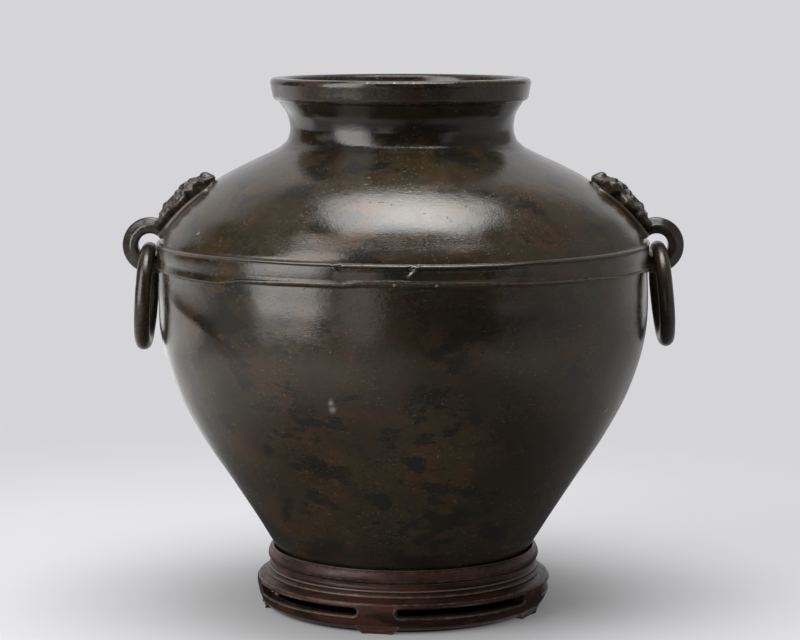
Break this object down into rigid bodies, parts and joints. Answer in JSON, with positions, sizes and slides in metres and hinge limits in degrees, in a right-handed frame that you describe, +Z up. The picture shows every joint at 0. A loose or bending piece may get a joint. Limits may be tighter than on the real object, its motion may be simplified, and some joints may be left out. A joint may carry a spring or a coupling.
{
  "type": "bronze vase on stand",
  "caption": "Large jar-shaped cast bronze vase with beast-mask ring handles on the shoulder, standing in a carved round hardwood stand.",
  "frame": {"origin": "on the surface the stand rests on, under the middle of the whole object", "axes": "+Z up out of the vase's mouth; +X through the right ring handle; -Y faces the front of the picture"},
  "size_m": [0.3946, 0.3486, 0.3727],
  "materials": {
    "vase_bronze": "dark brown patina, cast and burnished, satin",
    "handle_bronze": "dark brown patina, rubbed lighter on the high places",
    "stand_wood": "dark reddish hardwood, waxed"
  },
  "bodies": {
    "stand": {"stand_rim": "stand_wood", "stand_waist": "stand_wood", "stand_seat": "stand_wood", "stand_apron": "stand_wood", "stand_leg_1": "stand_wood", "stand_leg_2": "stand_wood", "stand_leg_3": "stand_wood", "stand_leg_4": "stand_wood", "stand_leg_5": "stand_wood", "stand_rail_1": "stand_wood", "stand_rail_2": "stand_wood", "stand_rail_3": "stand_wood", "stand_rail_4": "stand_wood", "stand_rail_5": "stand_wood"},
    "vase": {"vase_body": "vase_bronze", "vase_shoulder": "vase_bronze", "vase_neck": "vase_bronze", "base_plate": "vase_bronze", "loop_washer_right": "vase_bronze", "mask_rivet_right_front": "vase_bronze", "mask_rivet_right_back": "vase_bronze", "loop_washer_left": "vase_bronze", "mask_rivet_left_front": "vase_bronze", "mask_rivet_left_back": "vase_bronze", "mask_plate_right": "handle_bronze", "mask_right": "handle_bronze", "loop_right": "handle_bronze", "mask_plate_left": "handle_bronze", "mask_left": "handle_bronze", "loop_left": "handle_bronze"},
    "ring_right": {"ring_right": "handle_bronze"},
    "ring_left": {"ring_left": "handle_bronze"}
  },
  "joints": [
    {"name": "vase_lift", "type": "slide", "parent": "stand", "child": "vase", "axis": [0, 0, 1], "range_m": [0, 0.06]},
    {"name": "ring_right_swing", "type": "hinge", "parent": "vase", "child": "ring_right", "pos_m": [0.1791, 0, 0.253], "axis": [0, -1, 0], "range_deg": [0, 185]},
    {"name": "ring_left_swing", "type": "hinge", "parent": "vase", "child": "ring_left", "pos_m": [-0.1791, 0, 0.253], "axis": [0, 1, 0], "range_deg": [0, 185]}
  ]
}
